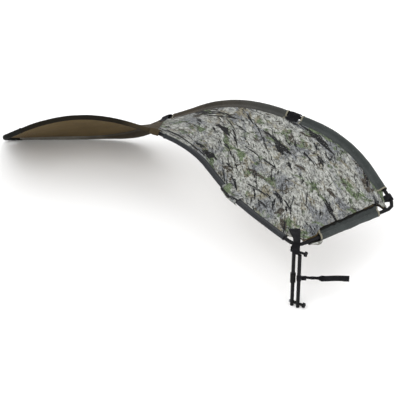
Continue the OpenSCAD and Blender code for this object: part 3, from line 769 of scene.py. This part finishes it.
def sleeve_part(frames, outlines, seed, loose=1.0, flare=0.0, shear=0.0):
    """Skin of a sleeve along frames of (centre, inward, up, along, distance), with its cut at each."""
    rings, uvs = [], []
    total = frames[-1][4]
    for (centre, inward, up, along, s), outline in zip(frames, outlines):
        inner = inner_profile(outline)
        open_up = 1 + flare * (1 - fade(min(s, total - s), 0, 0.022))
        ring, line, girth = [], [], 0.0
        for k, (x, y) in enumerate(outline):
            fold = loose * (0.0012 * ripple(s * 16 + seed, k * 0.28, seed)
                            + 0.0004 * ripple(s * 44, k * 0.3, seed))
            if abs(k - len(outline) / 2) < ROUND_STEPS / 2 + 3:
                grown = open_up + fold / math.hypot(x, y)
                place = (x * grown, y * grown)
            else:
                place = (x, y + 0.35 * fold * min(1, k / 4, (len(outline) - 1 - k) / 4))
            ring.append(centre + inward * place[0] + up * place[1] + along * shear * max(x, 0))
            girth += math.dist(outline[k - 1], (x, y)) if k else 0
            line.append((s, girth))
        for k in range(len(inner) - 1, -1, -1):
            x, y = inner[k]
            ring.append(centre + inward * x + up * y + along * shear * max(x, 0))
            line.append((s, line[k][1]))
        rings.append(np.array(ring))
        uvs += line
    verts, faces = loft(rings)
    return verts, faces, uvs


def rail_frames(section, side, s0, s1, count):
    """Frames on a rail between two distances, and the cloth's lift beside the rail at each of them."""
    rail, first, last = section.a if side == "a" else section.b
    frames, lifts = [], []
    for i in range(count + 1):
        s = s0 + (s1 - s0) * i / count
        f = min(1, max(0, (s - first) / (last - first)))
        a, b = section.ends(f)
        along = rail.along(s) * (1 if s1 > s0 else -1)
        inward = (b - a) if side == "a" else (a - b)
        width = np.linalg.norm(inward)
        inward = unit(inward - along * (inward @ along))
        up = np.cross(along, inward)
        if up @ section.up(f) < 0:
            up = -up
        rise = section.rise(f)

        def lift(x, rise=rise, width=width):
            k = max(0, x - SLEEVE_GRIP) / width
            return 4 * rise * k * (1 - k)
        frames.append((rail.at(s), inward, up, along, abs(s - s0)))
        lifts.append(lift)
    return frames, lifts


STITCH_PITCH, STITCH_LEN, STITCH_W = 0.0060, 0.0036, 0.0009


def stitches(points, normals, sides):
    """Short raised threads along a seam; normals and sides are one direction, or one for each point."""
    verts, faces, uvs = [], [], []
    run = distances(points)
    points, normals, sides = np.broadcast_arrays(points, normals, sides)

    def at(values, d):
        return np.array([np.interp(d, run, values[:, k]) for k in range(3)])
    for k in range(int(run[-1] / STITCH_PITCH)):
        d = (k + 0.3) * STITCH_PITCH
        start, end = at(points, d), at(points, d + STITCH_LEN)
        n, side = unit(at(normals, d)), unit(at(sides, d))
        base = len(verts)
        for p, squeeze, height in ((start, 0.5, 0.0001), (start * 0.7 + end * 0.3, 1, 0.0005),
                                   (start * 0.3 + end * 0.7, 1, 0.0005), (end, 0.5, 0.0001)):
            for way in (-1, 1):
                verts.append(p + side * way * STITCH_W / 2 * squeeze + n * height)
                verts.append(p + side * way * STITCH_W / 2 * squeeze - n * 0.0005)
        for q in range(3):
            a = base + 4 * q
            faces += [[a, a + 4, a + 6, a + 2], [a + 1, a + 3, a + 7, a + 5],
                      [a, a + 1, a + 5, a + 4], [a + 2, a + 6, a + 7, a + 3]]
        faces += [[base, base + 2, base + 3, base + 1], [base + 12, base + 13, base + 15, base + 14]]
        uvs += [(d, 0)] * 16
    return verts, faces, uvs


def add_sleeve(name, node, section, side, s0, s1, r, fin, body, material, hem=HEM_TAN, drop=None):
    """Sleeve with its hems and seams; drop gives how far its slack hangs at a distance along it."""
    seed = sum(map(ord, name)) * 0.37
    count = max(12, int(abs(s1 - s0) / 0.011))
    frames, lifts = rail_frames(section, side, s0, s1, count)
    outlines = []
    for (_, inward, up, _, s), lift in zip(frames, lifts):
        hang = tuple(unit(-np.array([inward[2], up[2]])) * drop(s)) if drop else (0.0, 0.0)
        outlines.append(sleeve_profile(r, fin, lift, hang=hang))
    soft_piece(name, body, [sleeve_part(frames, outlines, seed, flare=0.07)], material, node=node)
    way = 1 if s1 > s0 else -1
    hem_r = r + 0.0004 if r == GROUND_R else r * 1.07 + 0.0012
    hems = []
    for start, step in ((s0 - way * HEM_PAST, way), (s1 + way * HEM_PAST, -way)):
        hem_frames, hem_lifts = rail_frames(section, side, start, start + step * HEM_LEN, 5)
        hem_outlines = [sleeve_profile(hem_r, fin + 0.0012, lift) for lift in hem_lifts]
        hems.append(sleeve_part(hem_frames, hem_outlines, seed + 5, loose=0.3))
    soft_piece(f"{name}_hems", body, hems, hem)
    seams = []
    x = fin - SEAM_IN
    for way_up in (1, -1):
        points = [centre + inward * x + up * (lift(x) + way_up * 0.0027)
                  for (centre, inward, up, _, _), lift in zip(frames, lifts)]
        seams.append(stitches(points, [f[2] * way_up for f in frames], [f[1] for f in frames]))
    soft_piece(f"{name}_stitching", body, seams, THREAD)


def add_sleeves():
    r_a, r_b, fin_a, fin_b = 0.0130, 0.0165, 0.0215, 0.050
    near_a, near_b = (SLEEVE_SETBACK, NEAR_A0 - CORNER_CLEAR), NEAR_B0 + CORNER_CLEAR + 0.030
    far_a, far_b = (SLEEVE_SETBACK, FAR_A0 - CORNER_CLEAR), FAR_B0 + CORNER_CLEAR
    # Rail A's near and middle sleeves and hems take the grey cloth with painted shade.
    add_sleeve("near_sleeve_a", "sleeve_near_a", near_section, "a", *near_a, r_a, fin_a,
               "near_section", SLEEVE_GREY_SHADED, SLEEVE_GREY_SHADED)
    add_sleeve("near_sleeve_b", "sleeve_near_b", near_section, "b", near_b, NEAR.length - SLEEVE_SETBACK,
               r_b, fin_b, "near_section", SLEEVE_GREY)
    add_sleeve("middle_sleeve_a", "sleeve_mid_a", middle_section, "a", SLEEVE_SETBACK,
               MID_A.length - SLEEVE_SETBACK, r_a, fin_a, "middle_section", SLEEVE_GREY_SHADED, SLEEVE_GREY_SHADED)
    add_sleeve("middle_sleeve_b", "sleeve_mid_b", middle_section, "b", SLEEVE_SETBACK,
               MID_B.length - SLEEVE_SETBACK - 0.018, r_b, fin_b, "middle_section", SLEEVE_ZONED)
    # The far sleeve on rail A and its hems take the near-black painted shade towards the far corner.
    add_sleeve("far_sleeve_a", "sleeve_far_a", far_section, "a", *far_a, 0.0142, 0.027,
               "far_section", SLEEVE_RIM_SHADED, SLEEVE_RIM_SHADED)
    add_sleeve("far_sleeve_b", "sleeve_far_b", far_section, "b", FAR.length - SLEEVE_SETBACK, far_b,
               GROUND_R, 0.040, "far_section", SLEEVE_ZONED,
               drop=lambda s: 0.046 * fade(s, 0.012, 0.05) * (1 - fade(s, 0.15, 0.48)))


# ---------------------------------------------------------------- sleeves on the end bars
END_FROM, END_TO = 0.150, 0.548


def end_frames(s0, s1, count):
    """Frames along the near end bar, with the sleeve's fin rising to the shoulder of the cloth."""
    frames = []
    for i in range(count + 1):
        s = s0 + (s1 - s0) * i / count
        k = s / BAR_LEN
        inward = unit(NEAR_IN * (0.030 + 0.013 * k) + UP * (0.022 + 0.013 * k))
        up = unit(np.cross(inward, BAR_NEAR))
        if up[2] < 0:
            up = -up
        frames.append((CORNER_A_NEAR + BAR_NEAR * s, inward, up, BAR_NEAR, abs(s - s0)))
    return frames


def end_profile(s, grow=0.0):
    """Cut of the near end sleeve at a distance along it: slack under the tube at its left end."""
    k = min(1, max(0, s / (END_TO - END_FROM)))
    r = 0.0195 - 0.0035 * k + grow
    return sleeve_profile(r, 0.041 + 0.016 * k + grow, lambda x: 0.005 * math.sin(max(0, x - 0.02) * 70),
                          sag=0.020 * (1 - k), turn_start=math.radians(34))


def add_near_end_sleeve():
    frames = end_frames(END_FROM, END_TO, 46)
    outlines = [end_profile(frame_at[4]) for frame_at in frames]
    skin = sleeve_part(frames, outlines, 3.3, loose=2.8, flare=0.10, shear=0.30)
    soft_piece("near_end_sleeve", "near_section", [skin], SLEEVE_GREY, node="sleeve_near_end")
    hems = []
    for start, step in ((END_FROM - 0.001, 1), (END_TO + 0.001, -1)):
        hem_frames = end_frames(start, start + step * 0.010, 6)
        outlines = [end_profile(start - END_FROM + step * frame_at[4], 0.0024) for frame_at in hem_frames]
        hems.append(sleeve_part(hem_frames, outlines, 7.1, loose=2.4, shear=0.30))
    soft_piece("near_end_sleeve_hems", "near_section", hems, HEM_TAN)


def tube_shell(rings_out, rings_in, uv_step=0.01):
    """Open tube with a wall: outer and inner rings of the same count, joined at both mouths."""
    count, sides = len(rings_out), len(rings_out[0])
    verts = np.concatenate([*rings_out, *rings_in])
    half = count * sides
    faces, uvs = [], []
    for i in range(count):
        uvs += [(i * uv_step, k * 0.006) for k in range(sides)]
    uvs += uvs
    for i in range(count - 1):
        for k in range(sides):
            j = (k + 1) % sides
            quad = [i * sides + k, i * sides + j, (i + 1) * sides + j, (i + 1) * sides + k]
            faces += [quad, [half + q for q in reversed(quad)]]
    for row, way in ((0, 1), (count - 1, -1)):
        for k in range(sides):
            j = (k + 1) % sides
            quad = [row * sides + j, row * sides + k, half + row * sides + k, half + row * sides + j]
            faces.append(quad[::way])
    return verts, faces, uvs


def wrapped_tube(rail, s0, s1, count, outer, wall, sides=28):
    """Cloth round a rail: outer(t, angle) gives its radius at a fraction of its length."""
    out_rings, in_rings = [], []
    for i in range(count + 1):
        s = s0 + (s1 - s0) * i / count
        along = rail.along(s, 0.008)
        side = unit(np.cross(along, UP))
        up = np.cross(side, along)
        ring_o, ring_i = [], []
        for k in range(sides):
            t = 2 * math.pi * k / sides
            way = side * math.cos(t) + up * math.sin(t)
            r = outer(i / count, t)
            ring_o.append(rail.at(s) + way * r)
            ring_i.append(rail.at(s) + way * (r - wall))
        out_rings.append(ring_o)
        in_rings.append(ring_i)
    return tube_shell(out_rings, in_rings, abs(s1 - s0) / count)


FAR_BAR_CLEAR = 0.105      # from a far corner to the end of the bar's sleeve
POCKET_REACH = 0.100       # from a far corner to each end of its pocket
BINDING_HALF = 0.006


def add_far_end():
    """Sleeve on the far end bar and the two dark pockets over its corners."""
    def slack(r, seed):
        return lambda t, a: r + 0.0009 * ripple(t * 13, math.cos(a) * 1.6, math.sin(a) * 1.6 + seed)
    bar = wrapped_tube(FAR, FAR_A0 + FAR_BAR_CLEAR, FAR_B0 - FAR_BAR_CLEAR, 40, slack(0.0138, 2.0),
                       SLEEVE_T)
    soft_piece("far_end_sleeve", "far_section", [bar], SLEEVE_BLACK, node="sleeve_far_end")
    for name, node, s, r in (("far_pocket_a", "corner_strap_a_far", FAR_A0, 0.0152),
                             ("far_pocket_b", "corner_strap_b_far", FAR_B0, 0.0136)):
        pocket = wrapped_tube(FAR, s - POCKET_REACH, s + POCKET_REACH, 44, slack(r, 5.0), SLEEVE_T)
        bands = [wrapped_tube(FAR, mouth - BINDING_HALF, mouth + BINDING_HALF, 4,
                              lambda t, a: r + 0.0004, 0.0024)
                 for mouth in (s - POCKET_REACH, s + POCKET_REACH)]
        soft_piece(name, "far_section", [pocket], SLEEVE_BLACK, node=node)
        soft_piece(f"{name}_bindings", "far_section", bands, WEBBING)


# ---------------------------------------------------------------- flaps and guards over the hinges
FLAP_T = 0.0012


def hinge_frames(sections, starts, side, reach, count):
    """Frames on a rail through a hinge; starts are the hinge's distances on its two rails, and
    reach how far the frames go on each."""
    frames = []
    for i in range(count + 1):
        t = -reach[0] + (reach[0] + reach[1]) * i / count
        section, s = sections[t > 0], starts[t > 0]
        s += abs(t) * (1 if s == 0 else -1)
        got, _ = rail_frames(section, side, s, s + 0.001, 1)
        centre, inward, up, _, _ = got[0]
        frames.append([centre, inward, up, t])
    for k in (1, 2):
        smooth = np.array([frames[i][k] for i in range(count + 1)])
        for _ in range(4):
            smooth[1:-1] = (smooth[:-2] + smooth[1:-1] * 2 + smooth[2:]) / 4
        for i in range(count + 1):
            frames[i][k] = unit(smooth[i])
    return frames


def add_flap(name, place, frames, material, r, angles, hang):
    """Cloth that starts on the cover, passes over the hinge and hangs down outside it."""
    grid, uv = [], []
    first, last = frames[0][3], frames[-1][3]
    for centre, inward, up, t in frames:
        ends = 1 - (t / (last if t > 0 else first)) ** 4
        line = [(0.058, 0.0040), (0.048, 0.0060), (0.038, 0.0085)]
        start, stop = angles
        for k in range(11):
            a = math.radians(start + (stop - start) * k / 10)
            bulge = r * (0.93 + 0.07 * ends) + 0.0016 * ripple(t * 28, k * 0.5, 4.4)
            line.append((bulge * math.cos(a), bulge * math.sin(a)))
        x, y = line[-1]
        ragged = hang * (0.72 + 0.28 * ends + 0.5 * ripple(t * 22, 1.3))
        line += [(x + 0.0008 * k, y - ragged * k / 3) for k in (1, 2, 3)]
        grid.append([centre + inward * x + up * y for x, y in line])
        uv.append([(t + 1.3, w + 0.4) for w in distances(line)])
    grid = np.array(grid)
    n = np.cross(np.gradient(grid, axis=0), np.gradient(grid, axis=1))
    n /= np.linalg.norm(n, axis=-1, keepdims=True)
    outward = grid - np.array([f[0] for f in frames])[:, None]
    n *= np.sign((n * outward).sum(-1).mean())
    piece = mesh_piece(name, [shell(grid + n * FLAP_T, grid, uv)], material)
    over_hinge(piece)


def add_hinge_flaps():
    """Cloth flaps over the hinges on rail A, webbing guards over those on rail B."""
    joins = {"near": (near_section, middle_section), "far": (middle_section, far_section)}
    for kind, place, starts, side, reach, look in (
            ("flap", "near", (0, 0), "a", (0.085, 0.085), (CAMO, 0.0205, (60, 200), 0.007)),
            ("flap", "far", (MID_A.length, 0), "a", (0.016, 0.044), (BAND_BROWN, 0.0200, (60, 215), 0.003)),
            ("guard", "near", (NEAR.length, 0), "b", (0.036, 0.036), (WEBBING, 0.0190, (58, 175), 0.002)),
            ("guard", "far", (MID_B.length, FAR.length), "b", (0.032, 0.032),
             (WEBBING, 0.0225, (50, 175), 0.004))):
        frames = hinge_frames(joins[place], starts, side, reach, 24)
        add_flap(f"hinge_{kind}_{place}", place, frames, *look)


# ---------------------------------------------------------------- webbing
WEB_W = 0.038
WEB_T = 0.0024


def ribbon(points, sides, widths, thick):
    """Flat webbing along points, thinner at its edges; sides gives its width's direction at each."""
    top, bottom, uv = [], [], []
    tangents = np.gradient(points, axis=0)
    for p, side, tangent, width, s in zip(points, sides, tangents, widths, distances(points)):
        side = unit(side - unit(tangent) * (side @ unit(tangent)))
        n = np.cross(unit(tangent), side)
        line_t, line_b, line_uv = [], [], []
        for k in range(9):
            w = (k / 8 - 0.5) * width
            t = thick * (0.45 + 0.55 * (1 - abs(k / 4 - 1) ** 6)) / 2
            line_t.append(p + side * w + n * t)
            line_b.append(p + side * w - n * t)
            line_uv.append((s, w))
        top.append(line_t)
        bottom.append(line_b)
        uv.append(line_uv)
    return shell(top, bottom, uv)


def smooth_path(stations, count):
    """Evenly spaced points on a smooth curve through the stations."""
    stations = np.array(stations, float)
    for _ in range(4):
        cut = [stations[0]]
        for a, b in zip(stations, stations[1:]):
            cut += [a * 0.75 + b * 0.25, a * 0.25 + b * 0.75]
        stations = np.array(cut + [stations[-1]])
    run = distances(stations)
    spots = np.linspace(0, run[-1], count)
    return np.stack([np.interp(spots, run, stations[:, k]) for k in range(3)], 1)


CORNER_MID = curve(CORNER_A_NEAR + unit(PULL_A_NEAR - CORNER_A_NEAR) * CORNER_BEND, CORNER_A_NEAR,
                   CORNER_A_NEAR + BAR_NEAR * CORNER_BEND, 0.5)
CORNER_ALONG = unit(BAR_NEAR - unit(PULL_A_NEAR - CORNER_A_NEAR))
CORNER_IN = unit(np.cross(UP, CORNER_ALONG))


def add_near_corner_strap():
    """Webbing sewn to the cloth's corner, over the frame's corner and down in front of the leg."""
    def place(inward, up, along=0.0):
        return CORNER_MID + CORNER_IN * inward + UP * up + CORNER_ALONG * along
    stations = [place(0.105, 0.024, -0.024), place(0.075, 0.026, -0.018), place(0.040, 0.027, -0.008),
                place(0.006, 0.027), place(-0.021, 0.022), place(-0.0265, 0.000), place(-0.0275, -0.022),
                place(-0.0275, -0.048)]
    path = smooth_path(stations, 40)
    widths = [0.060 - 0.020 * fade(i, 2, 20) for i in range(40)]
    strap = ribbon(path, [CORNER_ALONG] * 40, widths, 0.0026)
    soft_piece("near_corner_strap_a", "near_section", [strap], WEBBING, "corner_strap_a_near")
    threads = []
    for d in (-0.021, 0.021):
        line = path[2:12] + CORNER_ALONG * d + UP * 0.0016
        threads.append(stitches(line, UP, CORNER_ALONG))
    for i in (2, 11):
        line = path[i] + np.outer(np.linspace(-0.021, 0.021, 8), CORNER_ALONG) + UP * 0.0016
        threads.append(stitches(line, UP, CORNER_IN))
    soft_piece("near_corner_strap_a_stitching", "near_section", threads, THREAD)


def add_far_corner_strap():
    """Webbing loop round rail B beside the near bar, with its doubled tab sewn to the cloth."""
    s = NEAR_B0 + 0.066
    centre, along = NEAR.at(s), NEAR.along(s)
    inward = -BAR_NEAR + NEAR_IN * 0.4
    inward = unit(inward - along * (inward @ along))
    up = np.cross(along, inward)
    up = up if up[2] > 0 else -up
    stations = [(0.052, 0.0050), (0.030, 0.0042), (0.0165, 0.0085), (0.006, 0.0140), (-0.008, 0.0142),
                (-0.0170, 0.0060), (-0.0175, -0.0060), (-0.008, -0.0142), (0.006, -0.0140),
                (0.0165, -0.0075), (0.030, -0.0016), (0.052, -0.0010)]
    path = smooth_path([centre + inward * x + up * y for x, y in stations], 56)
    strap = ribbon(path, [along] * 56, [WEB_W] * 56, WEB_T)
    soft_piece("near_corner_strap_b", "near_section", [strap], WEBBING, "corner_strap_b_near")


CUFF_FROM, CUFF_LEN = 0.078, 0.082     # along the near end bar
CUFF_ROWS, CUFF_STEPS = 15, 16


def add_cuff():
    """Loose camouflage cloth, hanging under the near end bar beside the end sleeve's mouth."""
    top, bottom, uv = [], [], []
    for i in range(CUFF_ROWS + 1):
        t = i / CUFF_ROWS
        s = CUFF_FROM + CUFF_LEN * t
        centre = CORNER_A_NEAR + BAR_NEAR * s
        depth = 0.018 + 0.026 * fade(t, 0, 0.9)
        row_t, row_b, row_uv = [], [], []
        for k in range(CUFF_STEPS + 1):
            a = math.radians(195 + (365 - 195) * k / CUFF_STEPS)
            r = 1 + 0.12 * ripple(t * 4, k * 0.5, 2.2)
            way = NEAR_IN * math.cos(a) * 0.020 * r + UP * math.sin(a) * depth * r
            row_b.append(centre + way)
            row_t.append(centre + way * 1.06)
            row_uv.append((s + 2.6, k * 0.006 + 0.2))
        top.append(row_t)
        bottom.append(row_b)
        uv.append(row_uv)
    soft_piece("near_end_cuff", "near_section", [shell(top, bottom, uv)], CAMO)


# ---------------------------------------------------------------- strap on the leg
STRAP_Z = 0.203
TAIL_END = 0.274
TAIL_LOW = 0.003           # the tail hangs this much under the band
FOLDED_W = 0.018           # the strap folded in half where it passes through the buckle


def add_leg_straps():
    """The band round the lower leg tube, and the tail: out through the buckle and turned flat."""
    rings_o, rings_i = [], []
    for i in range(9):
        z = STRAP_Z - WEB_W / 2 + WEB_W * i / 8
        edge = 1 - abs(i / 4 - 1) ** 6
        ring = [(math.cos(2 * math.pi * k / 40), math.sin(2 * math.pi * k / 40)) for k in range(40)]
        r = 0.0121 + 0.0013 * edge
        rings_o.append([np.array([c * r, q * r, z]) for c, q in ring])
        rings_i.append([np.array([c * 0.0109, q * 0.0109, z]) for c, q in ring])
    verts, faces, _ = tube_shell(rings_o, rings_i)
    turned = [(k * 0.0019, i * WEB_W / 8) for _ in (0, 1) for i in range(9) for k in range(40)]
    soft_piece("cinch_band", "leg_lower", [(verts, faces, turned)], WEBBING, "cinch_loop")
    stations = [(0.0125, 0.0030), (0.0170, 0.0060), (0.0219, 0), (0.0269, -0.0060), (0.0319, 0),
                (0.0370, 0.0062), (0.0430, 0.0045), (0.060, 0.0015), (0.095, 0.004), (0.135, -0.002),
                (0.165, 0.000), (0.210, 0.003), (TAIL_END, -0.001)]
    path = smooth_path([(x, y, STRAP_Z - TAIL_LOW * fade(x, 0.05, 0.12)) for x, y in stations], 90)
    sides, widths = [], []
    for x, _, _ in path:
        twist = math.radians(68) * fade(x, 0.055, 0.090) * (1 - fade(x, 0.105, 0.140))
        sides.append(np.array([0, math.sin(twist), math.cos(twist)]))
        widths.append(FOLDED_W + (WEB_W - FOLDED_W) * fade(x, 0.095, 0.140))
    tail = ribbon(path, sides, widths, WEB_T)
    fold = ribbon(path[78:] - np.array([0, 0.0026, 0]), sides[78:], [WEB_W * 0.98] * 12, 0.0022)
    soft_piece("cinch_strap_tail", "leg_lower", [tail, fold], WEBBING, "cinch_tail")
    threads = []
    for x in (TAIL_END - 0.034, TAIL_END - 0.028, TAIL_END - 0.006):
        z = np.linspace(-0.016, 0.016, 9)
        y = np.interp(x, path[:, 0], path[:, 1]) - 0.0041
        line = np.stack([np.full(9, x), np.full(9, y), STRAP_Z - TAIL_LOW + z], 1)
        threads.append(stitches(line, [0, -1.0, 0], [1.0, 0, 0]))
    soft_piece("cinch_strap_stitching", "leg_lower", threads, THREAD)


add_camera()
add_studio()
dress_cad_nodes()
add_cover()
add_near_edge_painted_shadow()
add_sleeves()
add_near_end_sleeve()
add_far_end()
add_hinge_flaps()
add_near_corner_strap()
add_far_corner_strap()
add_cuff()
add_leg_straps()
